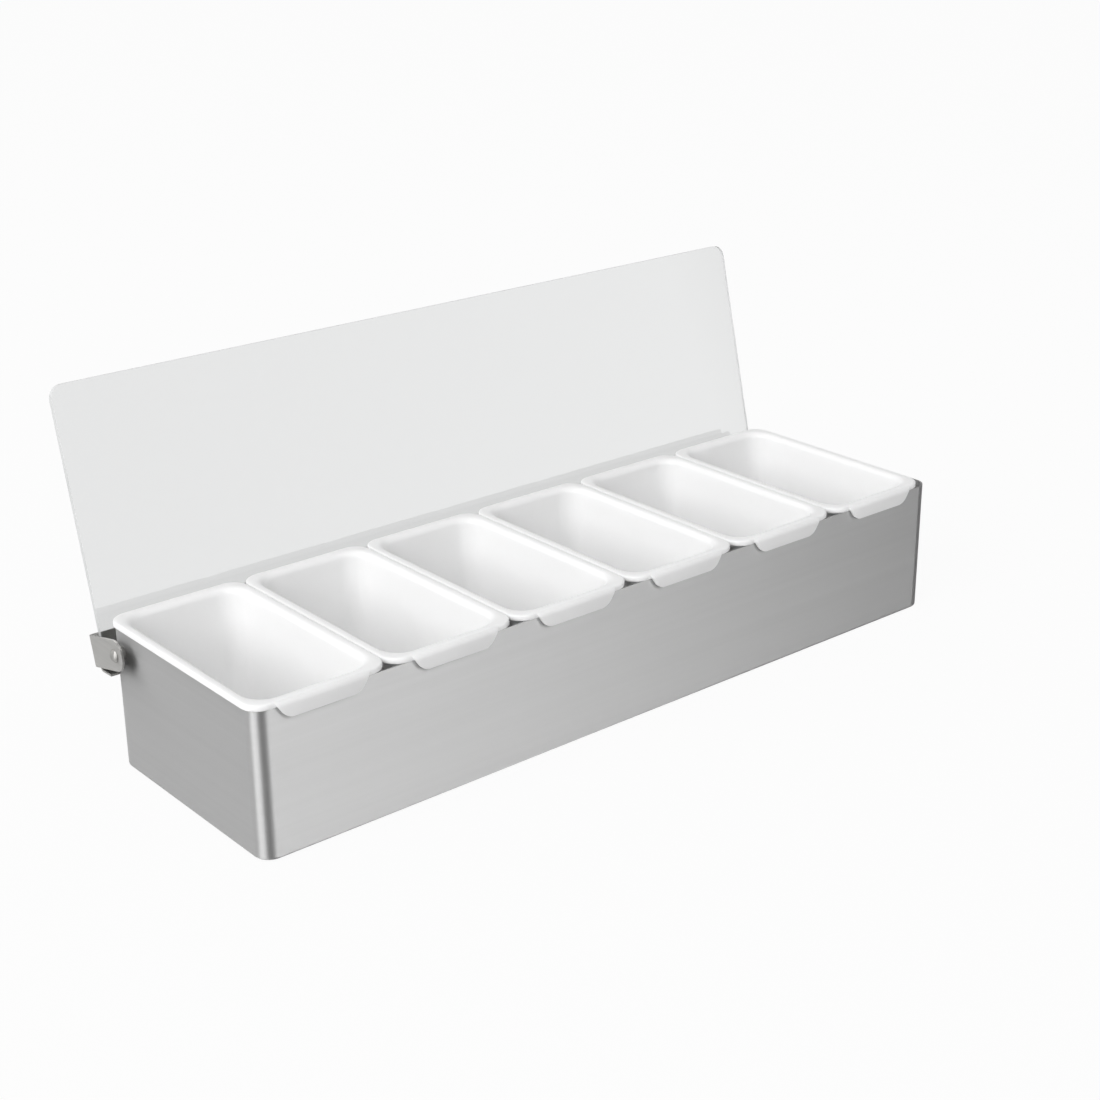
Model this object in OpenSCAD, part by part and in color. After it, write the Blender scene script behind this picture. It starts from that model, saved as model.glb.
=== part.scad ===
// Condiment caddy: an open stainless steel tray, six lift-out moulded inserts that hang
// in it by their rims, and one clear lid on a bent steel rail that swings on two rivets.
// Millimetres. X runs along the tray, +Y to the hinge side, +Z up.
// The origin is the middle of the tray's underside.
// The lid is drawn as it stands open, leaning back with the rail's foot on the back wall.

/* [Tray] */
// Outside length of the tray, along X
tray_length = 480; // [479:1:520]
// Outside depth of the tray, along Y
tray_depth = 140; // [136:1:160]
// Height of the tray, up to the cut top edge
tray_height = 80; // [78:1:110]
// Sheet thickness of the tray wall
tray_sheet = 0.8; // [0.6:0.1:1.2]
// Outside radius of the four upright corners
tray_corner_radius = 9; // [7:0.5:10]
// Outside radius of the bend along the bottom edge
bottom_bend_radius = 1.6; // [1.4:0.1:2.4]
// How far the wall turns in at the bottom, from the outside face
foot_width = 6; // [4:0.5:6.5]
// Thickness of the floor plate, which is let in flush with the turned-in edge
floor_sheet = 0.8; // [0.6:0.1:1.5]
// Gap of the weld seam between the floor plate and the turned-in edge
weld_gap = 0.1; // [0.05:0.05:0.3]
// Radial clearance of a rivet's shank in the sheets that it holds
rivet_fit = 0.03; // [0.02:0.01:0.1]

/* [Inserts] */
// Number of inserts in the row
insert_count = 6; // [6:1:6]
// How far the row of rims reaches past an end wall's outside face
row_overhang = 1.3; // [0:0.1:1.5]
// How much shorter the row of rims is than its place; the row stands at the left end
row_play = 7.8; // [2:0.2:9]
// Gap between the rims of two neighbours
rim_gap = 0.4; // [0.3:0.1:1]
// How far the rims reach past the front and the back wall's outside faces
rim_overhang = 0.4; // [0.3:0.1:0.7]
// Height of the rim above its seat
rim_height = 3.2; // [2.6:0.2:4]
// Radius of the rim's corners, seen from above
rim_corner_radius = 10; // [8:0.5:12]
// Radius of the rim's outer top edge
rim_edge_radius = 1; // [0.5:0.1:1.4]
// Flat band on top of the rim, outside the rounding to the inside wall
rim_flat = 3; // [1.8:0.2:3.6]
// Radius from the rim's top down to the inside wall
mouth_radius = 3.5; // [2:0.5:4]
// Height of the air below an insert, down to the floor plate
insert_clearance = 6.5; // [2:0.5:20]
// Wall thickness of an insert
insert_wall = 1.8; // [1.2:0.2:2.4]
// Draft of the two long walls, in degrees
side_draft = 2.5; // [1:0.5:4]
// Draft of the front and back walls, in degrees
end_draft = 5; // [2:0.5:7]
// Inside radius where the long walls meet the bottom
side_bottom_radius = 7; // [4:1:12]
// Inside radius where the front and back walls sweep into the bottom
end_bottom_radius = 36; // [20:1:42]
// Inside radius of the upright corners at the mouth
inside_corner_radius = 12; // [9:1:14]
// Inside radius of the upright corners at the bottom
bottom_corner_radius = 9; // [6:1:11]
// Height of the air gap left under a rim on its seat
seat_gap = 0.1; // [0.05:0.05:0.3]

/* [Grip flap] */
// Width of the flap where it leaves the rim
flap_width = 55; // [44:1:57]
// Width of the flap along its lower edge
flap_foot_width = 42; // [30:1:44]
// Radius of the flap's outside roll
flap_radius = 3; // [2.6:0.1:3.2]
// Thickness of the flap
flap_sheet = 1.4; // [1:0.1:1.6]
// Straight part of the flap below the roll
flap_drop = 5.8; // [4:0.2:8]
// Radius of the flap's two lower corners
flap_corner_radius = 4; // [1:0.5:4.5]
// How far the flap's crown lies below the top of the rim
flap_step = 0.3; // [0.2:0.1:0.5]
// Gap between the flap and the front wall behind it
flap_gap = 0.4; // [0.3:0.1:0.8]

/* [Hinge] */
// Distance from the back wall's outer face forward to the pivot
pivot_setback = 12.7; // [12:0.1:14]
// Distance from the tray's top edge down to the pivot
pivot_drop = 12.8; // [12:0.1:14]
// How far the open lid leans back from upright, in degrees
lean = 13.5; // [11:0.5:16]
// Radius of the ear's round end, also half the ear's height
ear_radius = 8.5; // [7:0.5:9]
// Sheet thickness of the rail and its ears
rail_sheet = 1.2; // [0.8:0.1:1.5]
// Inside radius of the rail's bends
rail_bend_radius = 1.4; // [1:0.2:2]
// Distance from the pivot back to the rail's front face
rail_reach = 26.2; // [25:0.1:28]
// How far the rail runs down below the pivot before its foot bends forward
rail_drop = 9.8; // [9.5:0.1:12]
// Rise of the rail's foot towards the wall when the lid is open, in degrees
foot_rise = 2.5; // [0:0.5:8]
// Gap between the foot's edge and the back wall when the lid is open
stop_gap = 0.3; // [0.2:0.1:0.5]
// How much shorter than the rail the foot is at each end
foot_inset = 3.4; // [3:0.2:8]
// Diameter of the pivot rivet's shank
pivot_shank = 4; // [3:0.2:5]
// Radial clearance of the ear on the shank
pivot_clearance = 0.08; // [0.04:0.01:0.1]
// Diameter of the pivot rivet's round head
pivot_head = 7.4; // [6:0.2:9]
// Height of the pivot rivet's round head
pivot_head_height = 2; // [1.4:0.1:2.6]
// Diameter of the rivet's closed end inside the tray
pivot_tail = 6.4; // [5.4:0.2:8]
// Height of the rivet's closed end inside the tray
pivot_tail_height = 1; // [0.6:0.1:1.4]
// Outside diameter of the spacer between wall and ear
spacer_diameter = 8; // [7:0.5:9]
// Length of the spacer between wall and ear
spacer_length = 3.6; // [3:0.1:5]
// Free play of the ear along the rivet, at each face
end_play = 0.1; // [0.05:0.05:0.3]

/* [Lid] */
// Gap between the lid's end and the ear
lid_end_gap = 4.3; // [1:0.1:6]
// Thickness of the clear sheet
lid_sheet = 3; // [2:0.5:4]
// How far the closed lid reaches past the front wall
lid_overhang = 11.7; // [8:0.1:16]
// Distance from the pivot down to the lid's lower edge
lid_tail = 7.5; // [7:0.5:9]
// Radius of the lid's four corners
lid_corner_radius = 7.5; // [2:0.5:12]
// Number of rivets that hold the lid to the rail
lid_rivet_count = 4; // [3:1:6]
// Distance from the lid's end to the first rivet
lid_rivet_inset = 29.5; // [12:0.5:60]
// Shank diameter of a lid rivet
lid_shank = 3.2; // [2.4:0.2:4]
// Head diameter of a lid rivet
lid_head = 6.4; // [5.6:0.2:8]
// Head height of a lid rivet
lid_head_height = 1.6; // [1:0.1:2]
// Diameter of the closed end of a lid rivet
lid_tail_head = 5; // [4.6:0.2:6]
// Height of the closed end of a lid rivet
lid_tail_height = 0.7; // [0.4:0.1:0.8]
// Outside diameter of a lid washer
washer_diameter = 9; // [7.5:0.5:11]
// Thickness of a lid washer
washer_sheet = 0.6; // [0.4:0.1:0.7]

/* [Hidden] */
$fn = 96;
// Steps of one rounded corner and of one sweep in an insert's loft
corner_steps = 6;
sweep_steps = 9;
// Steps of the roundings at the rim
edge_steps = 3;
mouth_steps = 4;
// Steel and plastic colours for the preview
steel = [0.72, 0.72, 0.70];
white = [0.95, 0.95, 0.95];
clear = [0.85, 0.9, 0.92, 0.4];
// A cut goes this far past the face that it opens
past = 1;

half_length = tray_length / 2;
half_depth = tray_depth / 2;
pivot_y = half_depth - pivot_setback;
pivot_z = tray_height - pivot_drop;
rivet_hole = pivot_shank + 2 * rivet_fit;
lid_hole = lid_shank + 2 * rivet_fit;

rim_pitch = (tray_length + 2 * row_overhang - row_play + rim_gap) / insert_count;
rim_width = rim_pitch - rim_gap;
rim_depth = tray_depth + 2 * rim_overhang;
row_shift = row_play / 2;
seat_z = tray_height + seat_gap;
rim_top = seat_z + rim_height;
insert_bottom = floor_sheet + insert_clearance;
insert_height = rim_top - insert_bottom;
// how far the middle of the flap's roll stands back from the rim's face
flap_setback = rim_overhang - flap_gap + flap_radius - flap_sheet;

ear_inner = half_length + spacer_length + 2 * end_play;
ear_outer = ear_inner + rail_sheet;
rail_outer_bend = rail_bend_radius + rail_sheet;
rail_back = rail_reach + rail_sheet;
rail_half = ear_outer - rail_outer_bend;
foot_half = ear_outer - foot_inset;

lid_width = 2 * (ear_inner - lid_end_gap);
lid_reach = pivot_y + half_depth + lid_overhang;
lid_rivet_span = lid_width - 2 * lid_rivet_inset;

// ---------------------------------------------------------------- tray

// Section of the wall, with x measured outwards from the corner's centre
module wall_section(reach) {
    bend = bottom_bend_radius;
    translate([reach - tray_sheet, bend])
        square([tray_sheet, tray_height - bend]);
    translate([reach - bend, bend])
        intersection() {
            difference() {
                circle(r = bend);
                circle(r = bend - tray_sheet);
            }
            translate([0, -2 * bend])
                square([2 * bend, 2 * bend]);
        }
    translate([reach - foot_width, 0])
        square([foot_width - bend, tray_sheet]);
}

// One straight side of the wall, its outside face at y = reach
module wall_side(run, reach) {
    rotate([90, 0, 90])
        linear_extrude(height = run, center = true)
            wall_section(reach);
}

module tray_wall_band() {
    r = tray_corner_radius;
    for (s = [0, 180])
        rotate([0, 0, s]) {
            wall_side(tray_length - 2 * r, half_depth);
            rotate([0, 0, 90])
                wall_side(tray_depth - 2 * r, half_length);
        }
    for (sx = [0, 1], sy = [0, 1])
        mirror([sx, 0, 0])
            mirror([0, sy, 0])
                translate([half_length - r, half_depth - r, 0])
                    rotate_extrude(angle = 90)
                        wall_section(r);
}

// A straight round bar along X, from x = a to x = b, on the pivot's axis
module pivot_bar(a, b, d) {
    translate([a, pivot_y, pivot_z])
        rotate([0, 90, 0])
            cylinder(h = b - a, d = d);
}

module tray_shell() {
    color(steel)
        difference() {
            tray_wall_band();
            for (s = [0, 1])
                mirror([s, 0, 0])
                    pivot_bar(half_length - tray_sheet - past, half_length + past, rivet_hole);
        }
}

module floor_plate() {
    in = foot_width + weld_gap;
    r = tray_corner_radius - in;
    color(steel)
        linear_extrude(height = floor_sheet)
            rounded_plate(tray_length - 2 * in, tray_depth - 2 * in, r);
}

// A flat plate outline with round corners, about its middle
module rounded_plate(w, d, r) {
    square([w, d - 2 * r], center = true);
    square([w - 2 * r, d], center = true);
    for (sx = [-1, 1], sy = [-1, 1])
        translate([sx * (w / 2 - r), sy * (d / 2 - r)])
            circle(r = r);
}

// ---------------------------------------------------------------- pivots

module pivot_spacer() {
    color(steel)
        difference() {
            pivot_bar(half_length, half_length + spacer_length, spacer_diameter);
            pivot_bar(half_length - past, half_length + spacer_length + past, rivet_hole);
        }
}

// A round head: the cap of a sphere, d across and h high, on the XY plane
module round_head(d, h) {
    r = (d * d / 4 + h * h) / (2 * h);
    rotate_extrude()
        intersection() {
            translate([0, h - r])
                circle(r = r);
            square([d / 2, h]);
        }
}

module pivot_rivet() {
    inside = half_length - tray_sheet;
    head = ear_outer + end_play;
    color(steel) {
        pivot_bar(inside, head, pivot_shank);
        pivot_bar(inside - pivot_tail_height, inside, pivot_tail);
        translate([head, pivot_y, pivot_z])
            rotate([0, 90, 0])
                round_head(pivot_head, pivot_head_height);
    }
}

module pivot_spacer_left() { mirror([1, 0, 0]) pivot_spacer(); }
module pivot_spacer_right() { pivot_spacer(); }
module pivot_rivet_left() { mirror([1, 0, 0]) pivot_rivet(); }
module pivot_rivet_right() { pivot_rivet(); }

// ---------------------------------------------------------------- rail

// Children are drawn with the pivot at the origin, y towards the lid's back face
// and z up along the lid, and are then leaned back about the pivot
module on_rail() {
    translate([0, pivot_y, pivot_z])
        rotate([-lean, 0, 0])
            children();
}

// A bend of the sheet about a line along X through (y, z), turning from angle a to angle b
module bend_x(half, y, z, a, b) {
    translate([0, y, z])
        rotate([90, 0, 90])
            rotate([0, 0, a])
                rotate_extrude(angle = b - a)
                    translate([rail_bend_radius, -half])
                        square([rail_sheet, 2 * half]);
}

module rail_strip() {
    translate([-rail_half, rail_reach, -ear_radius])
        cube([2 * rail_half, rail_sheet, 2 * ear_radius]);
    translate([-foot_half, rail_reach, -rail_drop])
        cube([2 * foot_half, rail_sheet, rail_drop]);
}

// The foot turns forward until it lies foot_rise above level on the open lid
module rail_foot() {
    turn = 90 - lean + foot_rise;
    y = rail_reach - rail_bend_radius;
    // where the bend's centre stands in the tray's own axes
    centre = pivot_y + y * cos(lean) - rail_drop * sin(lean);
    run = (centre - rail_outer_bend * sin(foot_rise) - half_depth - stop_gap) / cos(foot_rise);
    bend_x(foot_half, y, -rail_drop, -turn, 0);
    translate([0, y, -rail_drop])
        rotate([90 - turn, 0, 0])
            translate([-foot_half, -run, -rail_outer_bend])
                cube([2 * foot_half, run, rail_sheet]);
}

module rail_ear() {
    back = rail_back - rail_outer_bend;
    difference() {
        union() {
            translate([ear_inner, 0, -ear_radius])
                cube([rail_sheet, back, 2 * ear_radius]);
            translate([ear_inner, 0, 0])
                rotate([0, 90, 0])
                    cylinder(h = rail_sheet, r = ear_radius);
        }
        translate([ear_inner - past, 0, 0])
            rotate([0, 90, 0])
                cylinder(h = rail_sheet + 2 * past, d = pivot_shank + 2 * pivot_clearance);
    }
    translate([rail_half, back, -ear_radius])
        rotate_extrude(angle = 90)
            translate([rail_bend_radius, 0])
                square([rail_sheet, 2 * ear_radius]);
}

// Children are repeated at each lid rivet, with z pointing back through the sheet
module at_lid_rivets() {
    step = lid_rivet_span / (lid_rivet_count - 1);
    for (i = [0 : lid_rivet_count - 1])
        translate([i * step - lid_rivet_span / 2, 0, 0])
            rotate([-90, 0, 0])
                children();
}

module lid_rivet_holes() {
    front = rail_reach - lid_sheet;
    at_lid_rivets()
        translate([0, 0, front - past])
            cylinder(h = lid_sheet + rail_sheet + 2 * past, d = lid_hole);
}

module hinge_rail() {
    color(steel)
        on_rail()
            difference() {
                union() {
                    rail_strip();
                    rail_foot();
                    rail_ear();
                    mirror([1, 0, 0]) rail_ear();
                }
                lid_rivet_holes();
            }
}

// ---------------------------------------------------------------- lid

module lid_panel() {
    h = lid_reach + lid_tail;
    color(clear)
        on_rail()
            difference() {
                translate([0, rail_reach, h / 2 - lid_tail])
                    rotate([90, 0, 0])
                        linear_extrude(height = lid_sheet)
                            rounded_plate(lid_width, h, lid_corner_radius);
                lid_rivet_holes();
            }
}

module lid_rivets() {
    tail = rail_reach - lid_sheet - washer_sheet;
    color(steel)
        on_rail()
            at_lid_rivets() {
                translate([0, 0, tail])
                    cylinder(h = rail_back - tail, d = lid_shank);
                translate([0, 0, tail - lid_tail_height])
                    cylinder(h = lid_tail_height, d = lid_tail_head);
                translate([0, 0, rail_back])
                    round_head(lid_head, lid_head_height);
            }
}

module lid_washers() {
    front = rail_reach - lid_sheet - washer_sheet;
    color(steel)
        on_rail()
            at_lid_rivets()
                translate([0, 0, front])
                    difference() {
                        cylinder(h = washer_sheet, d = washer_diameter);
                        translate([0, 0, -past])
                            cylinder(h = washer_sheet + 2 * past, d = lid_hole);
                    }
}

// ---------------------------------------------------------------- inserts

// Half-width at height z over a bottom whose wall leans out by draft and meets it in radius r.
// foot is where the wall's own line would meet the bottom.
function half_at(z, foot, draft, r) =
    z < r * (1 - sin(draft))
        ? foot + r * tan(draft) - r / cos(draft) + sqrt(r * r - (r - z) * (r - z))
        : foot + z * tan(draft);

// A closed ring of points: a rectangle of half sizes hx and hy with round corners
function ring(hx, hy, r, z) = [
    for (c = [0 : 3], i = [0 : corner_steps])
        let (
            a = (c + i / corner_steps) * 90,
            sx = c == 0 || c == 3 ? 1 : -1,
            sy = c < 2 ? 1 : -1
        )
        [sx * (hx - r) + r * cos(a), sy * (hy - r) + r * sin(a), z]
];

inside_depth = insert_height - insert_wall;
wall_top = inside_depth - mouth_radius;
half_mouth_x = rim_width / 2 - rim_flat - mouth_radius;
half_mouth_y = rim_depth / 2 - rim_flat - mouth_radius;
inner_foot_x = half_mouth_x - wall_top * tan(side_draft);
inner_foot_y = half_mouth_y - wall_top * tan(end_draft);
outer_foot_x = inner_foot_x + insert_wall / cos(side_draft) - insert_wall * tan(side_draft);
outer_foot_y = inner_foot_y + insert_wall / cos(end_draft) - insert_wall * tan(end_draft);
under_rim = insert_height - rim_height;

function corner_at(z, depth) =
    bottom_corner_radius + (inside_corner_radius - bottom_corner_radius) * z / depth;

// The rings of the outside, from the underside up to the rim, heights from the underside
outside_rings = [
    for (k = [0 : sweep_steps])
        let (
            r = end_bottom_radius + insert_wall,
            z = r * (1 - cos(k / sweep_steps * (90 - end_draft)))
        )
        ring(
            half_at(z, outer_foot_x, side_draft, side_bottom_radius + insert_wall),
            half_at(z, outer_foot_y, end_draft, r),
            corner_at(z, under_rim) + insert_wall,
            z
        ),
    ring(
        outer_foot_x + under_rim * tan(side_draft),
        outer_foot_y + under_rim * tan(end_draft),
        inside_corner_radius + insert_wall,
        under_rim
    )
];

// The rim, out along its underside and round its edge
rim_rings = [
    ring(rim_width / 2, rim_depth / 2, rim_corner_radius, under_rim),
    for (k = [0 : edge_steps])
        let (
            a = k / edge_steps * 90,
            in = rim_edge_radius * (1 - cos(a))
        )
        ring(
            rim_width / 2 - in,
            rim_depth / 2 - in,
            rim_corner_radius - in,
            insert_height - rim_edge_radius * (1 - sin(a))
        )
];

// The mouth and the inside, down to the bottom
inside_rings = [
    for (k = [0 : mouth_steps])
        let (
            a = k / mouth_steps * 90,
            in = mouth_radius * (1 - sin(a))
        )
        ring(
            half_mouth_x + in,
            half_mouth_y + in,
            inside_corner_radius + in / 2,
            insert_height - mouth_radius * (1 - cos(a))
        ),
    for (k = [sweep_steps : -1 : 0])
        let (z = end_bottom_radius * (1 - cos(k / sweep_steps * (90 - end_draft))))
        ring(
            half_at(z, inner_foot_x, side_draft, side_bottom_radius),
            half_at(z, inner_foot_y, end_draft, end_bottom_radius),
            corner_at(z, wall_top),
            z + insert_wall
        )
];

module insert_cup() {
    rings = concat(outside_rings, rim_rings, inside_rings);
    m = len(rings[0]);
    n = len(rings);
    points = [for (one = rings) each one];
    walls = [
        for (k = [0 : n - 2], i = [0 : m - 1])
            let (j = (i + 1) % m)
            each [
                [k * m + i, (k + 1) * m + i, (k + 1) * m + j],
                [k * m + i, (k + 1) * m + j, k * m + j]
            ]
    ];
    under = [for (i = [0 : m - 1]) i];
    bottom = [for (i = [m - 1 : -1 : 0]) (n - 1) * m + i];
    polyhedron(points = points, faces = concat([under], walls, [bottom]), convexity = 6);
}

// Section of the flap: x forward from the rim's face, y up from the underside of the insert
module flap_section() {
    top = insert_height - flap_step;
    inner = flap_radius - flap_sheet;
    translate([-flap_setback, top - flap_radius]) {
        intersection() {
            difference() {
                circle(r = flap_radius);
                circle(r = inner);
            }
            square([flap_radius, flap_radius]);
        }
        translate([inner, -flap_drop])
            square([flap_sheet, flap_drop]);
        translate([inner + flap_sheet / 2, -flap_drop])
            circle(d = flap_sheet);
    }
}

// Outline of the flap seen from the front: its ends lean in and its lower corners are round
module flap_outline() {
    top = insert_height;
    low = top - flap_step - flap_radius - flap_drop - flap_sheet / 2;
    r = flap_corner_radius;
    slant = atan2((flap_width - flap_foot_width) / 2, top - low);
    // the corner circle touches the lower edge and the leaning end
    cx = flap_foot_width / 2 + r * tan(slant) - r / cos(slant);
    tx = cx + r * cos(slant);
    tz = low + r - r * sin(slant);
    polygon([
        [-flap_width / 2, top], [-tx, tz], [-cx, low], [cx, low], [tx, tz], [flap_width / 2, top]
    ]);
    for (s = [-1, 1])
        translate([s * cx, low + r])
            circle(r = r);
}

module insert_flap() {
    reach = flap_radius + rim_depth / 2;
    intersection() {
        translate([0, -rim_depth / 2, 0])
            rotate([90, 0, -90])
                linear_extrude(height = flap_width, center = true)
                    flap_section();
        rotate([90, 0, 0])
            linear_extrude(height = reach + past)
                flap_outline();
    }
}

// The insert that stands at place i, counted from the left
module insert_at(i) {
    x = (i - (insert_count - 1) / 2) * rim_pitch - row_shift;
    color(white)
        translate([x, 0, insert_bottom]) {
            insert_cup();
            insert_flap();
        }
}

module insert_1() { insert_at(0); }
module insert_2() { insert_at(1); }
module insert_3() { insert_at(2); }
module insert_4() { insert_at(3); }
module insert_5() { insert_at(4); }
module insert_6() { insert_at(5); }

// ---------------------------------------------------------------- nodes

tray_shell();
floor_plate();
pivot_spacer_left();
pivot_spacer_right();
pivot_rivet_left();
pivot_rivet_right();
hinge_rail();
lid_panel();
lid_rivets();
lid_washers();
insert_1();
insert_2();
insert_3();
insert_4();
insert_5();
insert_6();
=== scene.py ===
# %% [markdown]
# # A counter condiment caddy
# The real object is an open tray of brushed stainless steel, six white moulded inserts that
# hang in it by their rims, and one clear lid on a bent steel rail. The rail turns on a rivet
# at each end of the tray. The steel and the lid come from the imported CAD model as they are.
# The inserts are modelled again here, because a moulded cup needs smoother curves than the
# model that the physics uses. We begin by loading the frame and keeping its size.

# %% Load the frame
import math

import bmesh
import bpy
from mathutils import Matrix, Vector


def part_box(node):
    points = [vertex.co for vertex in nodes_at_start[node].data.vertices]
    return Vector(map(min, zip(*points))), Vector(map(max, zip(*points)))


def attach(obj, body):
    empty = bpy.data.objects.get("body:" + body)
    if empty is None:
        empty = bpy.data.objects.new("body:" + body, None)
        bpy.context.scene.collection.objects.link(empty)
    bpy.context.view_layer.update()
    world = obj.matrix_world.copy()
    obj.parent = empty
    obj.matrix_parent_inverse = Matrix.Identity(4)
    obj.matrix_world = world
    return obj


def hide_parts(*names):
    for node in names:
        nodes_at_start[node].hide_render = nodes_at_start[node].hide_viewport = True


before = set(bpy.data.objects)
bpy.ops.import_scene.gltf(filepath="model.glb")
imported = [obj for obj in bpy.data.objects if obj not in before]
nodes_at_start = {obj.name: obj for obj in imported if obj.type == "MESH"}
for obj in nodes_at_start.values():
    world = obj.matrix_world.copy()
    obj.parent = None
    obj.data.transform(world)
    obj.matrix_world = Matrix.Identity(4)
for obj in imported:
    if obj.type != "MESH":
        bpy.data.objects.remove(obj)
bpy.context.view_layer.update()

# %% [markdown]
# ## The camera
# The camera stands to the left of the object and a little above it. The place, the lens and
# the three directions come from matching the tray's edges, the lid's edges and the grip flaps
# with the picture. A camera looks along its own -Z, with +Y up, so its matrix holds the
# directions right, up and back.

# %% Set up the camera
CAMERA_PLACE = Vector((-0.646506, -0.775825, 0.481584))
CAMERA_RIGHT = Vector((0.76725507, -0.64128221, -0.00876234))
CAMERA_UP = Vector((0.24407106, 0.27932716, 0.92865799))
CAMERA_BACK = Vector((-0.59308429, -0.71465618, 0.37083361))
CAMERA_LENS = 63.235
SENSOR_WIDTH = 36
FARTHEST = 60

camera_data = bpy.data.cameras.new("photo_camera")
camera_data.lens = CAMERA_LENS
camera_data.sensor_width = SENSOR_WIDTH
camera_data.clip_end = FARTHEST
camera = bpy.data.objects.new("photo_camera", camera_data)
bpy.context.scene.collection.objects.link(camera)
turn = Matrix((CAMERA_RIGHT, CAMERA_UP, CAMERA_BACK)).transposed().to_4x4()
camera.matrix_world = Matrix.Translation(CAMERA_PLACE) @ turn
bpy.context.scene.camera = camera
print("camera at", [round(v, 3) for v in camera.location], "lens", camera_data.lens)

# %% [markdown]
# ## The inserts: a ring at a time
# A moulded cup is one skin: up the outside, round the rim and down the inside. It could be a
# box that is bevelled and hollowed, but then its long front and back sweeps and its draft are
# hard to get right. So it starts as a small plate with round corners, which is extruded again
# and again, and each new ring gets its own half sizes and corner radius. Scaling a whole ring
# would make its corners oval, so each corner is scaled about its own centre and then moved.
# All sizes here are in millimetres, as on a drawing, and become metres where they are used.

# %% Sizes of an insert
MM = 0.001
INSERT_BODIES = {f"insert_{n}": f"cup_{n}" for n in range(1, 7)}
first_low, first_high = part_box("insert_1")
RIM_WIDTH = (first_high.x - first_low.x) / MM
RIM_DEPTH = 140.8
RIM_HEIGHT = 3.2
RIM_EDGE = 1.0
RIM_LOWER_EDGE = 0.3
RIM_FLAT = 3.0
RIM_CORNER = 10.0
MOUTH_RADIUS = 3.5
INSERT_HEIGHT = (first_high.z - first_low.z) / MM
WALL = 1.8
SIDE_DRAFT = math.radians(2.5)
END_DRAFT = math.radians(5)
SIDE_SWEEP = 7.0
END_SWEEP = 36.0
CORNER_TOP = 12.0
CORNER_BOTTOM = 9.0
CORNER_STEPS = 12
SWEEP_STEPS = 26
EDGE_STEPS = 5
MOUTH_STEPS = 8
print(f"insert: {RIM_WIDTH:.1f} x {RIM_DEPTH:.1f} x {INSERT_HEIGHT:.1f} mm")

# %% The outline at each height
def half_at(height, foot, draft, sweep):
    """Half a cup's size at a height over its bottom, where the wall sweeps into the bottom."""
    if height < sweep * (1 - math.sin(draft)):
        start = foot + sweep * math.tan(draft) - sweep / math.cos(draft)
        return start + math.sqrt(max(0, sweep ** 2 - (sweep - height) ** 2))
    return foot + height * math.tan(draft)


def corner_at(height, depth):
    """The corner radius grows evenly from the bottom to the mouth."""
    return CORNER_BOTTOM + (CORNER_TOP - CORNER_BOTTOM) * height / depth


def skin_rings():
    """Every ring of the cup, as half width, half depth, corner radius and height."""
    half_x, half_y = RIM_WIDTH / 2, RIM_DEPTH / 2
    mouth_x = half_x - RIM_FLAT - MOUTH_RADIUS
    mouth_y = half_y - RIM_FLAT - MOUTH_RADIUS
    depth = INSERT_HEIGHT - WALL - MOUTH_RADIUS
    in_x = mouth_x - depth * math.tan(SIDE_DRAFT)
    in_y = mouth_y - depth * math.tan(END_DRAFT)
    out_x = in_x + WALL / math.cos(SIDE_DRAFT) - WALL * math.tan(SIDE_DRAFT)
    out_y = in_y + WALL / math.cos(END_DRAFT) - WALL * math.tan(END_DRAFT)
    under_rim = INSERT_HEIGHT - RIM_HEIGHT
    sweep_angles = [k / SWEEP_STEPS * (math.pi / 2 - END_DRAFT) for k in range(SWEEP_STEPS + 1)]

    # Up the outside, from the bottom to the underside of the rim
    rings = []
    for angle in sweep_angles:
        sweep = END_SWEEP + WALL
        z = sweep * (1 - math.cos(angle))
        rings.append((
            half_at(z, out_x, SIDE_DRAFT, SIDE_SWEEP + WALL),
            half_at(z, out_y, END_DRAFT, sweep),
            corner_at(z, under_rim) + WALL,
            z,
        ))
    rings.append((
        out_x + under_rim * math.tan(SIDE_DRAFT),
        out_y + under_rim * math.tan(END_DRAFT),
        CORNER_TOP + WALL,
        under_rim,
    ))

    # Out under the rim and over its round edge
    rings.append((
        half_x - RIM_LOWER_EDGE,
        half_y - RIM_LOWER_EDGE,
        RIM_CORNER - RIM_LOWER_EDGE,
        under_rim,
    ))
    rings.append((half_x, half_y, RIM_CORNER, under_rim + RIM_LOWER_EDGE))
    for k in range(EDGE_STEPS + 1):
        angle = k / EDGE_STEPS * math.pi / 2
        back = RIM_EDGE * (1 - math.cos(angle))
        z = INSERT_HEIGHT - RIM_EDGE * (1 - math.sin(angle))
        rings.append((half_x - back, half_y - back, RIM_CORNER - back, z))

    # Over the flat band, into the mouth and down the inside
    for k in range(MOUTH_STEPS + 1):
        angle = k / MOUTH_STEPS * math.pi / 2
        back = MOUTH_RADIUS * (1 - math.sin(angle))
        z = INSERT_HEIGHT - MOUTH_RADIUS * (1 - math.cos(angle))
        rings.append((mouth_x + back, mouth_y + back, CORNER_TOP + back / 2, z))
    for angle in reversed(sweep_angles):
        z = END_SWEEP * (1 - math.cos(angle))
        rings.append((
            half_at(z, in_x, SIDE_DRAFT, SIDE_SWEEP),
            half_at(z, in_y, END_DRAFT, END_SWEEP),
            corner_at(z, depth),
            z + WALL,
        ))
    return rings


cup_rings = skin_rings()
print("rings in a cup:", len(cup_rings))

# %% [markdown]
# ## Operators that build a ring
# In edit mode an operator works on what is selected. After an extrude, the new face is
# selected, so its vertices are the ring. The helper below picks one corner's vertices at a
# time, scales them about the corner's centre and moves them to the new place.

# %% Helpers for rings
def deselect_all():
    bpy.ops.object.select_all(action="DESELECT")


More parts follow.
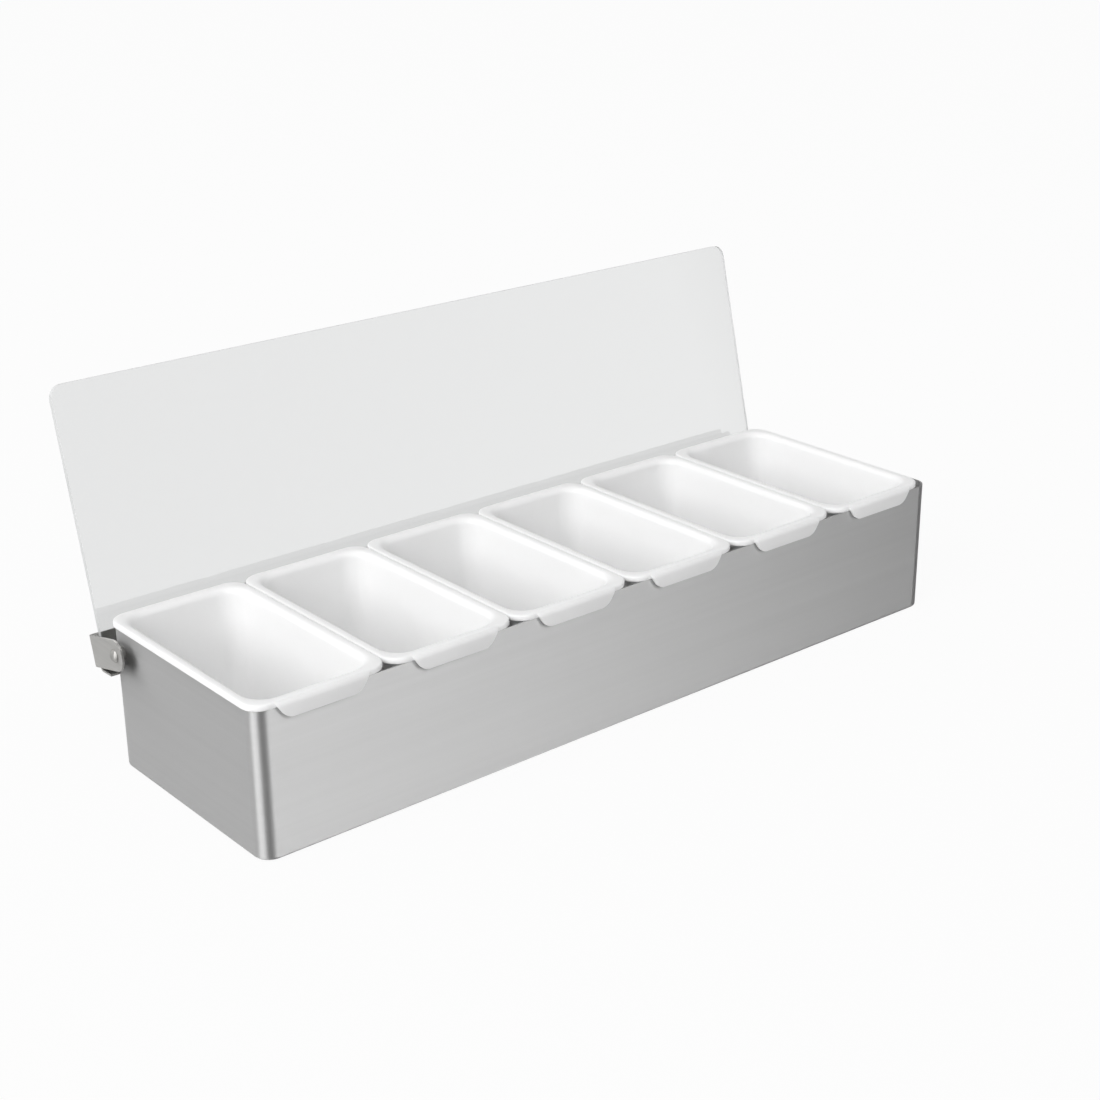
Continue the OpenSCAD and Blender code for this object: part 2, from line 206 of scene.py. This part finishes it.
def select_in_mesh(piece, chosen):
    """Selects the vertices with these indices, and nothing else, in edit mode."""
    mesh = bmesh.from_edit_mesh(piece.data)
    for vertex in mesh.verts:
        vertex.select = False
    mesh.select_flush(False)
    mesh.verts.ensure_lookup_table()
    for index in chosen:
        mesh.verts[index].select = True
    mesh.select_flush(True)
    bmesh.update_edit_mesh(piece.data)


def rounded_plate(name, ring):
    """A plate with round corners: a plane at its size, with its four corners bevelled."""
    half_x, half_y, corner, height = (v * MM for v in ring)
    deselect_all()
    bpy.ops.mesh.primitive_plane_add(size=2, location=(0, 0, height))
    piece = bpy.context.object
    piece.name = name
    piece.scale = (half_x, half_y, 1)
    bpy.ops.object.transform_apply(location=True, rotation=False, scale=True)
    bpy.ops.object.mode_set(mode="EDIT")
    bpy.ops.mesh.select_all(action="SELECT")
    bpy.ops.mesh.bevel(offset=corner, offset_type="OFFSET", segments=CORNER_STEPS,
                       affect="VERTICES", profile=0.5)
    return piece


def next_ring(piece, was, now):
    """Extrudes the selected face to the next ring and gives it that ring's outline."""
    rise = (now[3] - was[3]) * MM
    bpy.ops.mesh.extrude_region_move(TRANSFORM_OT_translate={"value": (0, 0, rise)})
    mesh = bmesh.from_edit_mesh(piece.data)
    ring = [(v.index, v.co.x, v.co.y) for v in mesh.verts if v.select]
    old = [v * MM for v in was]
    new = [v * MM for v in now]
    factor = new[2] / old[2]
    for side_x in (-1, 1):
        for side_y in (-1, 1):
            corner = [i for i, x, y in ring if x * side_x > 0 and y * side_y > 0]
            centre = (side_x * (old[0] - old[2]), side_y * (old[1] - old[2]), 0)
            target = (side_x * (new[0] - new[2]), side_y * (new[1] - new[2]), 0)
            select_in_mesh(piece, corner)
            bpy.ops.transform.resize(value=(factor, factor, 1), center_override=centre)
            bpy.ops.transform.translate(value=Vector(target) - Vector(centre))
    select_in_mesh(piece, [i for i, x, y in ring])


# %% Model one cup
cup = rounded_plate("cup_model", cup_rings[0])
for was, now in zip(cup_rings, cup_rings[1:]):
    next_ring(cup, was, now)
bpy.ops.mesh.select_all(action="SELECT")
bpy.ops.mesh.normals_make_consistent(inside=False)
bpy.ops.object.mode_set(mode="OBJECT")
print("cup:", len(cup.data.vertices), "points,", len(cup.data.polygons), "faces")

# %% [markdown]
# ## The grip flap
# At the front of each rim a short flap rolls out and down, and the insert is lifted by it. A
# thin block is put inside the rim, its front face is spun a quarter turn and pulled down, and
# the strip that this gives is cut to leaning ends with round lower corners. Its back is drawn
# a step thicker than its sheet, towards the front wall, where it does not show. The flap is then
# joined to the cup by a Boolean union, as the plastic is one piece.

# %% Sizes of the flap
FLAP_WIDTH = 55.0
FLAP_FOOT = 42.0
FLAP_RADIUS = 3.0
FLAP_SHEET = 1.4
FLAP_DROP = 5.8
FLAP_STEP = 0.3
FLAP_SETBACK = 1.6
FLAP_CORNER = 4.0
FLAP_EDGE = 0.45
FLAP_THICK = FLAP_SHEET + FLAP_STEP
ROLL_STEPS = 12
OVERLAP = 0.35
rim_front = -RIM_DEPTH / 2
flap_axis_y = rim_front + FLAP_SETBACK
flap_axis_z = INSERT_HEIGHT - FLAP_STEP - FLAP_RADIUS
flap_low = flap_axis_z - FLAP_DROP - FLAP_SHEET / 2
print(f"flap hangs {INSERT_HEIGHT - flap_low:.1f} mm below the rim's top")

# %% Model the flap
deselect_all()
block_y = flap_axis_y + OVERLAP / 2
block_z = flap_axis_z + FLAP_RADIUS - FLAP_THICK / 2
bpy.ops.mesh.primitive_cube_add(size=1, location=(0, block_y * MM, block_z * MM))
flap = bpy.context.object
flap.name = "flap_model"
flap.scale = (FLAP_WIDTH * MM, OVERLAP * MM, FLAP_THICK * MM)
bpy.ops.object.transform_apply(location=True, rotation=False, scale=True)
bpy.ops.object.mode_set(mode="EDIT")


def select_faces(piece, test):
    """Selects the faces whose centre and normal pass a test, and nothing else."""
    bpy.ops.mesh.select_mode(type="FACE")
    bpy.ops.mesh.select_all(action="DESELECT")
    mesh = bmesh.from_edit_mesh(piece.data)
    for face in mesh.faces:
        face.select = test(face.calc_center_median() / MM, face.normal)
    mesh.select_flush_mode()
    bmesh.update_edit_mesh(piece.data)
    return sum(face.select for face in mesh.faces)


front_faces = select_faces(flap, lambda centre, normal: normal.y < -0.9)
axis_point = (0, flap_axis_y * MM, flap_axis_z * MM)
bpy.ops.mesh.spin(steps=ROLL_STEPS, angle=-math.pi / 2, center=axis_point, axis=(1, 0, 0))
mesh = bmesh.from_edit_mesh(flap.data)
low = min(vertex.co.z for vertex in mesh.verts) / MM
print(f"faces spun: {front_faces}, lowest point {low:.2f} mm, axis at {flap_axis_z:.2f} mm")
bpy.ops.mesh.extrude_region_move(
    TRANSFORM_OT_translate={"value": (0, 0, -(FLAP_DROP + FLAP_SHEET / 2) * MM)})

# %% Cut the flap's ends and round its lower corners
NEAR = 0.01
slant = math.atan2((FLAP_WIDTH - FLAP_FOOT) / 2, INSERT_HEIGHT - flap_low)
for side in (-1, 1):
    bpy.ops.mesh.select_all(action="SELECT")
    bpy.ops.mesh.bisect(
        plane_co=(side * FLAP_WIDTH / 2 * MM, 0, INSERT_HEIGHT * MM),
        plane_no=(side * math.cos(slant), 0, -math.sin(slant)),
        use_fill=True, clear_outer=True)


def select_edges(piece, test):
    """Selects the edges whose two ends pass a test, and nothing else."""
    bpy.ops.mesh.select_mode(type="EDGE")
    bpy.ops.mesh.select_all(action="DESELECT")
    mesh = bmesh.from_edit_mesh(piece.data)
    for edge in mesh.edges:
        edge.select = test(edge.verts[0].co / MM, edge.verts[1].co / MM)
    mesh.select_flush_mode()
    bmesh.update_edit_mesh(piece.data)
    return sum(edge.select for edge in mesh.edges)


def is_low_corner(a, b):
    """The two lower edges that run through the sheet, at the flap's ends."""
    return max(a.z, b.z) < flap_low + NEAR and abs(a.x - b.x) < NEAR


corner_edges = select_edges(flap, is_low_corner)
bpy.ops.mesh.bevel(offset=FLAP_CORNER * MM, segments=6, affect="EDGES", profile=0.5)
print("corner edges rounded:", corner_edges)

# %% Soften the flap's free edges
SHARP = math.radians(40)
IN_RIM = 0.05
bpy.ops.mesh.select_all(action="SELECT")
bpy.ops.mesh.remove_doubles(threshold=0.00001)
bpy.ops.mesh.normals_make_consistent(inside=False)
mesh = bmesh.from_edit_mesh(flap.data)
bpy.ops.mesh.select_mode(type="EDGE")
bpy.ops.mesh.select_all(action="DESELECT")
for edge in mesh.edges:
    ends = [vertex.co / MM for vertex in edge.verts]
    nearest, farthest = sorted(end.y for end in ends)
    free = nearest < flap_axis_y - IN_RIM or farthest < flap_axis_y
    sharp = edge.is_manifold and edge.calc_face_angle() > SHARP
    edge.select = free and sharp
mesh.select_flush_mode()
bmesh.update_edit_mesh(flap.data)
bpy.ops.mesh.bevel(offset=FLAP_EDGE * MM, segments=3, affect="EDGES", profile=0.5,
                   clamp_overlap=True)
bpy.ops.object.mode_set(mode="OBJECT")
print("flap:", len(flap.data.polygons), "faces")

# %% Join flap and cup
SMOOTH_BELOW = math.radians(38)
deselect_all()
cup.select_set(True)
bpy.context.view_layer.objects.active = cup
union = cup.modifiers.new("join_flap", "BOOLEAN")
union.operation = "UNION"
union.solver = "EXACT"
union.object = flap
bpy.ops.object.modifier_apply(modifier=union.name)
bpy.data.objects.remove(flap)
bpy.ops.object.shade_smooth_by_angle(angle=SMOOTH_BELOW)
print("cup with flap:", len(cup.data.polygons), "faces")

# %% [markdown]
# ## Six inserts
# The six inserts come out of one mould, so the finished model is copied to each place. Each
# copy has its own mesh, with its place in the mesh, and stands for the insert of the CAD
# model, which stays for collision. It rides on that insert's body, so it lifts out with it.

# %% Copy the insert to its six places
def place_insert(node, body):
    low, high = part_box(node)
    centre_x = (low.x + high.x) / 2
    centre_y = high.y - RIM_DEPTH / 2 * MM
    deselect_all()
    cup.select_set(True)
    bpy.context.view_layer.objects.active = cup
    bpy.ops.object.duplicate(linked=False)
    piece = bpy.context.object
    piece.name = f"moulded_{node}"
    bpy.ops.transform.translate(value=(centre_x, centre_y, low.z))
    bpy.ops.object.transform_apply(location=True, rotation=False, scale=False)
    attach(piece, body)
    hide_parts(node)
    return piece


inserts = [place_insert(node, body) for node, body in INSERT_BODIES.items()]
bpy.data.objects.remove(cup)
print("inserts:", [piece.name for piece in inserts])

# %% [markdown]
# ## Finishes
# Each finish is a small set of shader nodes. The patterns read Object coordinates, which are
# metres in the frame of the whole object, so a scratch or a grain has its real size. A few
# helpers keep the recipes short: noise that is stretched along an axis, a number or a colour
# that follows the noise, a sum, a bump, and a blend of two shaders.

# %% Helpers for patterns
def new_finish(name):
    """A new material with the tree that its nodes go into."""
    material = bpy.data.materials.new(name)
    material.use_nodes = True
    return material, material.node_tree.nodes, material.node_tree.links


def stretched_noise(nodes, links, scale, detail=2.0):
    """Noise on Object coordinates, with so many features a metre along X, Y and Z."""
    place = nodes.new("ShaderNodeTexCoord")
    mapping = nodes.new("ShaderNodeMapping")
    mapping.inputs["Scale"].default_value = scale
    noise = nodes.new("ShaderNodeTexNoise")
    noise.inputs["Scale"].default_value = 1
    noise.inputs["Detail"].default_value = detail
    links.new(place.outputs["Object"], mapping.inputs["Vector"])
    links.new(mapping.outputs["Vector"], noise.inputs["Vector"])
    return noise.outputs["Fac"]


def between(nodes, links, source, low, high, start=0.3, end=0.7):
    """Turns noise into a number between two limits."""
    span = nodes.new("ShaderNodeMapRange")
    span.inputs["From Min"].default_value = start
    span.inputs["From Max"].default_value = end
    span.inputs["To Min"].default_value = low
    span.inputs["To Max"].default_value = high
    links.new(source, span.inputs["Value"])
    return span.outputs["Result"]


def mix_colours(nodes, links, source, first, second):
    """Blends two colours by noise."""
    mix = nodes.new("ShaderNodeMix")
    mix.data_type = "RGBA"
    mix.inputs[6].default_value = (*first, 1)
    mix.inputs[7].default_value = (*second, 1)
    links.new(between(nodes, links, source, 0, 1), mix.inputs[0])
    return mix.outputs[2]


# %% Helpers for sums, bumps and blends
def calculate(nodes, links, operation, *values):
    """A Math node. Each value is a number or the output of another node."""
    sums = nodes.new("ShaderNodeMath")
    sums.operation = operation
    for socket, value in zip(sums.inputs, values):
        if isinstance(value, (int, float)):
            socket.default_value = value
        else:
            links.new(value, socket)
    return sums.outputs[0]


def add_bump(nodes, links, shader, height, strength, distance=0.0001):
    """Lets light see small hills on a surface, at most so many metres high."""
    bump = nodes.new("ShaderNodeBump")
    bump.inputs["Strength"].default_value = strength
    bump.inputs["Distance"].default_value = distance
    links.new(height, bump.inputs["Height"])
    links.new(bump.outputs["Normal"], shader.inputs["Normal"])


def mix_shaders(nodes, links, share, first, second):
    """Blends two shaders: a share of 0 gives the first one and 1 gives the second one."""
    mix = nodes.new("ShaderNodeMixShader")
    links.new(share, mix.inputs["Fac"])
    links.new(first, mix.inputs[1])
    links.new(second, mix.inputs[2])
    return mix.outputs["Shader"]


def give(node_names, material):
    """Puts a finish on CAD nodes, by their material slots."""
    for name in node_names:
        piece = nodes_at_start[name]
        if not piece.material_slots:
            piece.data.materials.append(material)
        for place in piece.material_slots:
            place.material = material


# %% [markdown]
# ### Brushed steel
# The sheet is brushed along its length before it is bent. Fine lines run level round the
# walls. They are long in X and Y and very thin in Z, so noise is squeezed in Z only. Two
# layers are used: hair lines, and broader bands that a brush leaves.
# Brushed metal also blurs what it mirrors, and far more across its lines than along them.
# Anisotropic does that: the blur runs up and down here, so a wall keeps the light and dark
# of the room from left to right, and a round corner shows upright stripes.

# %% Brushed steel
HAIR_LINES = (9, 9, 2000)
BRUSH_BANDS = (2, 2, 260)
HAIR_SHARE = 0.6


def brushed_steel(name, dark, light, rough, lines=HAIR_LINES, bands=BRUSH_BANDS):
    """Steel between two greys, with lines and bands that have so many features a metre."""
    material, nodes, links = new_finish(name)
    shader = nodes["Principled BSDF"]
    hair = stretched_noise(nodes, links, lines, 3)
    band = stretched_noise(nodes, links, bands, 2)
    band_part = calculate(nodes, links, "MULTIPLY", band, 1 - HAIR_SHARE)
    both = calculate(nodes, links, "MULTIPLY_ADD", hair, HAIR_SHARE, band_part)
    links.new(mix_colours(nodes, links, both, dark, light), shader.inputs["Base Color"])
    roughness = between(nodes, links, hair, rough - 0.05, rough + 0.07)
    links.new(roughness, shader.inputs["Roughness"])
    shader.inputs["Metallic"].default_value = 1
    shader.inputs["Anisotropic"].default_value = 0.95
    shader.inputs["Anisotropic Rotation"].default_value = 0.25
    add_bump(nodes, links, shader, hair, 0.12)
    return material


tray_steel = brushed_steel("brushed_tray_steel", (0.53, 0.53, 0.53), (0.575, 0.575, 0.575), 0.50)
rail_steel = brushed_steel("brushed_rail_steel", (0.50, 0.495, 0.48), (0.60, 0.595, 0.58), 0.42)
floor_steel = brushed_steel("mill_floor_steel", (0.42, 0.42, 0.42), (0.5, 0.5, 0.5), 0.45)
small_steel = brushed_steel("turned_small_steel", (0.36, 0.355, 0.34), (0.46, 0.455, 0.44), 0.42,
                            lines=(700, 700, 700), bands=(120, 120, 120))
give(["tray_shell"], tray_steel)
give(["floor_plate"], floor_steel)
give(["hinge_rail"], rail_steel)
give(["pivot_spacer_left", "pivot_spacer_right", "pivot_rivet_left", "pivot_rivet_right",
      "lid_rivets", "lid_washers"], small_steel)
print("steel finishes:", tray_steel.name, rail_steel.name, floor_steel.name, small_steel.name)

# %% [markdown]
# ### White moulded plastic
# The inserts are white and have a light gloss. Light goes a little way into such plastic and
# comes out beside the place where it went in, which softens the shading. Subsurface does that,
# with a scale of 2 mm. A mould leaves a very fine grain, so the roughness varies a little and
# a faint bump breaks the highlights.

# %% White plastic
SCATTER_DEPTH = 0.002
MOULD_GRAIN = (2200, 2200, 2200)


def moulded_plastic(name, colour_a, colour_b, rough):
    """Plastic that clouds a little between two colours."""
    material, nodes, links = new_finish(name)
    shader = nodes["Principled BSDF"]
    cloud = stretched_noise(nodes, links, (18, 18, 18), 3)
    grain = stretched_noise(nodes, links, MOULD_GRAIN, 2)
    links.new(mix_colours(nodes, links, cloud, colour_a, colour_b), shader.inputs["Base Color"])
    roughness = between(nodes, links, cloud, rough - 0.04, rough + 0.04)
    links.new(roughness, shader.inputs["Roughness"])
    shader.inputs["Subsurface Weight"].default_value = 1.0
    shader.inputs["Subsurface Radius"].default_value = (1, 1, 1)
    shader.inputs["Subsurface Scale"].default_value = SCATTER_DEPTH
    add_bump(nodes, links, shader, grain, 0.04)
    return material


white_plastic = moulded_plastic("white_moulded_plastic", (0.955, 0.955, 0.955),
                                (0.97, 0.97, 0.97), 0.55)
for piece in inserts:
    piece.data.materials.clear()
    piece.data.materials.append(white_plastic)
print("white plastic on", len(inserts), "inserts")

# %% [markdown]
# ### The clear lid
# The lid is a sheet of clear acrylic. It tints what is behind it only a little. Its sawn edges
# are matt, and they are drawn in a darker grey: that grey is painted shade, for the dark lines
# that light makes in the edges of a clear sheet. The sheet is one piece of the CAD model, so the
# edges are found by their direction: a face that doesn't look straight out of the sheet is an
# edge. Lamps shine through a clear sheet, so for the rays that look for a lamp the material is
# simply see-through.

# %% The two surfaces of the sheet
def polished_face(nodes, links, haze, tint):
    """Clear plastic with a trace of haze, made from the shader that a new material has."""
    shader = nodes["Principled BSDF"]
    shader.inputs["Base Color"].default_value = (*tint, 1)
    shader.inputs["Transmission Weight"].default_value = 1
    shader.inputs["IOR"].default_value = 1.49
    links.new(between(nodes, links, haze, 0.0, 0.03), shader.inputs["Roughness"])
    add_bump(nodes, links, shader, haze, 0.01)
    return shader.outputs["BSDF"]


def sawn_edge_with_painted_shade(nodes, links, haze, edge, tint):
    """The matt cut edge, with fine saw marks, in a darker grey that is painted shade for its
    dark lines.
    """
    shader = nodes.new("ShaderNodeBsdfPrincipled")
    shader.inputs["Roughness"].default_value = 0.35
    add_bump(nodes, links, shader, stretched_noise(nodes, links, (900, 900, 900), 2), 0.1)
    # The edge colour is painted shade: a darker grey for the dark lines that a clear sheet's
    # edges show.
    links.new(mix_colours(nodes, links, haze, edge, tint), shader.inputs["Base Color"])
    return shader.outputs["BSDF"]


def edge_mask(nodes, links, face):
    """Gives 1 on faces that look away from the sheet's own direction, and 0 on its faces."""
    place = nodes.new("ShaderNodeTexCoord")
    along = nodes.new("ShaderNodeVectorMath")
    along.operation = "DOT_PRODUCT"
    along.inputs[1].default_value = face
    links.new(place.outputs["Normal"], along.inputs[0])
    size = calculate(nodes, links, "ABSOLUTE", along.outputs["Value"])
    return calculate(nodes, links, "LESS_THAN", size, 0.5)


# %% Clear sheet
LID_LEAN = math.radians(13.5)
LID_FACE = (0, -math.cos(LID_LEAN), math.sin(LID_LEAN))
LAMP_SHARE = 0.93


def clear_sheet(name, tint, edge, face):
    """A clear sheet that looks along a direction, with sawn edges in a darker grey of painted
    shade.
    """
    material, nodes, links = new_finish(name)
    haze = stretched_noise(nodes, links, (30, 30, 30), 2)
    polished = polished_face(nodes, links, haze, tint)
    sawn = sawn_edge_with_painted_shade(nodes, links, haze, edge, tint)
    sheet = mix_shaders(nodes, links, edge_mask(nodes, links, face), polished, sawn)
    see_through = nodes.new("ShaderNodeBsdfTransparent")
    see_through.inputs["Color"].default_value = (LAMP_SHARE, LAMP_SHARE, LAMP_SHARE, 1)
    path = nodes.new("ShaderNodeLightPath")
    whole = mix_shaders(nodes, links, path.outputs["Is Shadow Ray"], sheet,
                        see_through.outputs["BSDF"])
    links.new(whole, nodes["Material Output"].inputs["Surface"])
    return material


# Its third colour is the edges' darker grey, painted shade for their dark lines.
lid_clear = clear_sheet("clear_acrylic", (0.725, 0.73, 0.73), (0.60, 0.61, 0.61), LID_FACE)
give(["lid_panel"], lid_clear)
print("lid finish:", lid_clear.name)

# %% [markdown]
# ## The floor
# The floor is a large pale plane. The camera sees it almost white, with the soft shadow of the
# object: most of its colour there is a white glow, and the rest is matt and takes the shadow.
# Rays that went through the clear lid see the same. For all other rays it is matt only, so the
# glow doesn't light the object.

# %% Floor
FLOOR_SIZE = 40
FLOOR_GAP = 0.0004
FLOOR_GREY = 0.68
GLOW_SHARE = 0.94
deselect_all()
bpy.ops.mesh.primitive_plane_add(size=FLOOR_SIZE, location=(0, 0, -FLOOR_GAP))
floor = bpy.context.object
floor.name = "studio_floor"
floor_material, nodes, links = new_finish("studio_floor")
matt = nodes["Principled BSDF"]
matt.inputs["Base Color"].default_value = (FLOOR_GREY, FLOOR_GREY, FLOOR_GREY, 1)
matt_roughness = between(nodes, links, stretched_noise(nodes, links, (40, 40, 40)), 0.85, 0.95)
links.new(matt_roughness, matt.inputs["Roughness"])
paper = stretched_noise(nodes, links, (600, 600, 600))
add_bump(nodes, links, matt, paper, 0.05, distance=0.0002)

glow = nodes.new("ShaderNodeEmission")
glow.inputs["Color"].default_value = (1, 1, 1, 1)
glow.inputs["Strength"].default_value = 1
path = nodes.new("ShaderNodeLightPath")
seen = calculate(nodes, links, "MAXIMUM", path.outputs["Is Camera Ray"],
                 path.outputs["Is Transmission Ray"])
share = calculate(nodes, links, "MULTIPLY", seen, GLOW_SHARE)
whole = mix_shaders(nodes, links, share, matt.outputs["BSDF"], glow.outputs["Emission"])
links.new(whole, nodes["Material Output"].inputs["Surface"])
floor.data.materials.append(floor_material)
print("floor:", floor.name)

# %% [markdown]
# ## The sky
# The object stands in a white studio. Matt surfaces are lit by a plain grey sky, and the camera
# and the clear lid see white. Metal is different: it shows what stands round it, and in an even
# white room brushed steel would look flat. So mirror rays see bands round the horizon instead.
# They are dark and light like the screens and lamps of a studio, and they let the front wall
# darken to the right and give the round corner its light and its dark stripe. A band is placed
# by its bearing: 0 degrees is the front, 90 the right and -90 the left.

# %% The bearing of a ray
world = bpy.data.worlds.new("studio_sky")
bpy.context.scene.world = world
world.use_nodes = True
nodes, links = world.node_tree.nodes, world.node_tree.links
sky = nodes["Background"]
sky.inputs["Strength"].default_value = 1
path = nodes.new("ShaderNodeLightPath")
view = nodes.new("ShaderNodeTexCoord")
parts = nodes.new("ShaderNodeSeparateXYZ")
links.new(view.outputs["Generated"], parts.inputs[0])
to_front = calculate(nodes, links, "MULTIPLY", parts.outputs["Y"], -1)
bearing = calculate(nodes, links, "ARCTAN2", parts.outputs["X"], to_front)
turns = between(nodes, links, bearing, 0, 1, start=-math.pi, end=math.pi)
print("sky:", world.name)

# %% Bands round the horizon
STUDIO_BANDS = (
    (-179, 0.4), (-140, 0.42), (-100, 0.36), (-62, 0.1), (-45, 0.02), (-8, 0.02), (10, 0.8),
    (42, 1.0), (47, 0.15), (51, 0.0), (90, 0.0), (130, 0.12), (179, 0.4),
)
BAND_STRENGTH = 3.1
studio = nodes.new("ShaderNodeValToRGB")
studio.color_ramp.interpolation = "EASE"
stops = studio.color_ramp.elements
for number, (degrees, level) in enumerate(STUDIO_BANDS):
    spot = (degrees + 180) / 360
    stop = stops[number] if number < 2 else stops.new(spot)
    stop.position = spot
    stop.color = (level, level, level, 1)
links.new(turns, studio.inputs["Fac"])
bands = nodes.new("ShaderNodeMix")
bands.data_type = "RGBA"
bands.blend_type = "MULTIPLY"
bands.inputs[0].default_value = 1
bands.inputs[7].default_value = (BAND_STRENGTH, BAND_STRENGTH, BAND_STRENGTH, 1)
links.new(studio.outputs["Color"], bands.inputs[6])
print("bands round the horizon:", len(STUDIO_BANDS))


# %% What each kind of ray sees
SKY_LEVEL = 0.60


def choose(ray, usual, other):
    """The first colour for most rays and the second one for rays of this kind."""
    mix = nodes.new("ShaderNodeMix")
    mix.data_type = "RGBA"
    links.new(path.outputs[ray], mix.inputs[0])
    for socket, colour in ((mix.inputs[6], usual), (mix.inputs[7], other)):
        if isinstance(colour, tuple):
            socket.default_value = colour
        else:
            links.new(colour, socket)
    return mix.outputs[2]


white = (1, 1, 1, 1)
sky_colour = choose("Is Glossy Ray", (SKY_LEVEL, SKY_LEVEL, SKY_LEVEL, 1), bands.outputs[2])
sky_colour = choose("Is Transmission Ray", sky_colour, white)
sky_colour = choose("Is Camera Ray", sky_colour, white)
links.new(sky_colour, sky.inputs["Color"])
print("sky level for matt surfaces:", SKY_LEVEL)

# %% [markdown]
# ## The lamps
# One large soft lamp stands at the left, so that the right inner walls of the inserts are
# bright and the back ones a little darker. A weak lamp in front only lifts the shadows.

# %% Lamps
AIM = (0, 0, 0.05)


def soft_lamp(name, place, size, power):
    """A square area lamp at a place, pointed at the object."""
    data = bpy.data.lights.new(name, "AREA")
    data.shape = "SQUARE"
    data.size = size
    data.energy = power
    lamp = bpy.data.objects.new(name, data)
    lamp.location = place
    lamp.rotation_euler = (Vector(AIM) - Vector(place)).to_track_quat("-Z", "Y").to_euler()
    bpy.context.scene.collection.objects.link(lamp)
    return lamp


key_lamp = soft_lamp("key_lamp", (-3.2, -0.8, 2.1), 2.6, 92)
fill_lamp = soft_lamp("fill_lamp", (0.8, -1.8, 1.6), 1.6, 1)
print("lamps:", key_lamp.name, fill_lamp.name)

# %% [markdown]
# ## The picture
# The Standard view shows a colour as it is written, which suits a white product picture.

# %% Picture settings
bpy.context.scene.view_settings.view_transform = "Standard"
print("view:", bpy.context.scene.view_settings.view_transform)
